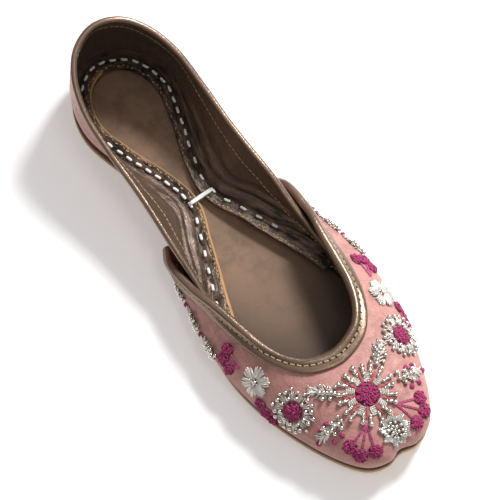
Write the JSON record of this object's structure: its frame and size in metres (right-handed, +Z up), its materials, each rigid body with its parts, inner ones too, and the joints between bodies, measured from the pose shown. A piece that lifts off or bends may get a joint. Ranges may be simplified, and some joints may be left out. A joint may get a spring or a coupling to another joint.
{
  "type": "mojari shoe",
  "caption": "Flat slip-on mojari with a straight last, an embroidered satin vamp with two wings, leather quarters stitched inside them, rolled bindings and a notched square toe.",
  "frame": {"origin": "on the floor, under the middle of the shoe's length and width", "axes": "+X to the toe, +Y to the wearer's left, +Z up"},
  "size_m": [0.2434, 0.0852, 0.057],
  "materials": {
    "sole_leather": "matte, cut edge",
    "insole_leather": "matte, smooth",
    "satin": "soft satin sheen",
    "binding_leather": "metallic bronze, soft gloss",
    "quarter_leather": "metallic bronze, creased",
    "magenta_thread": "twisted silk",
    "coral_thread": "twisted silk",
    "silver_wire": "soft metallic",
    "silver_bead": "bright",
    "clear_bead": "pearly",
    "white_thread": "waxed cotton",
    "tan_thread": "waxed thread",
    "raw_edge": "cut edge"
  },
  "bodies": {
    "root": {"outsole": "sole_leather", "insole": "insole_leather", "vamp": "satin", "vamp_binding": "binding_leather", "quarter": "quarter_leather", "quarter_binding": "binding_leather"}
  },
  "joints": []
}
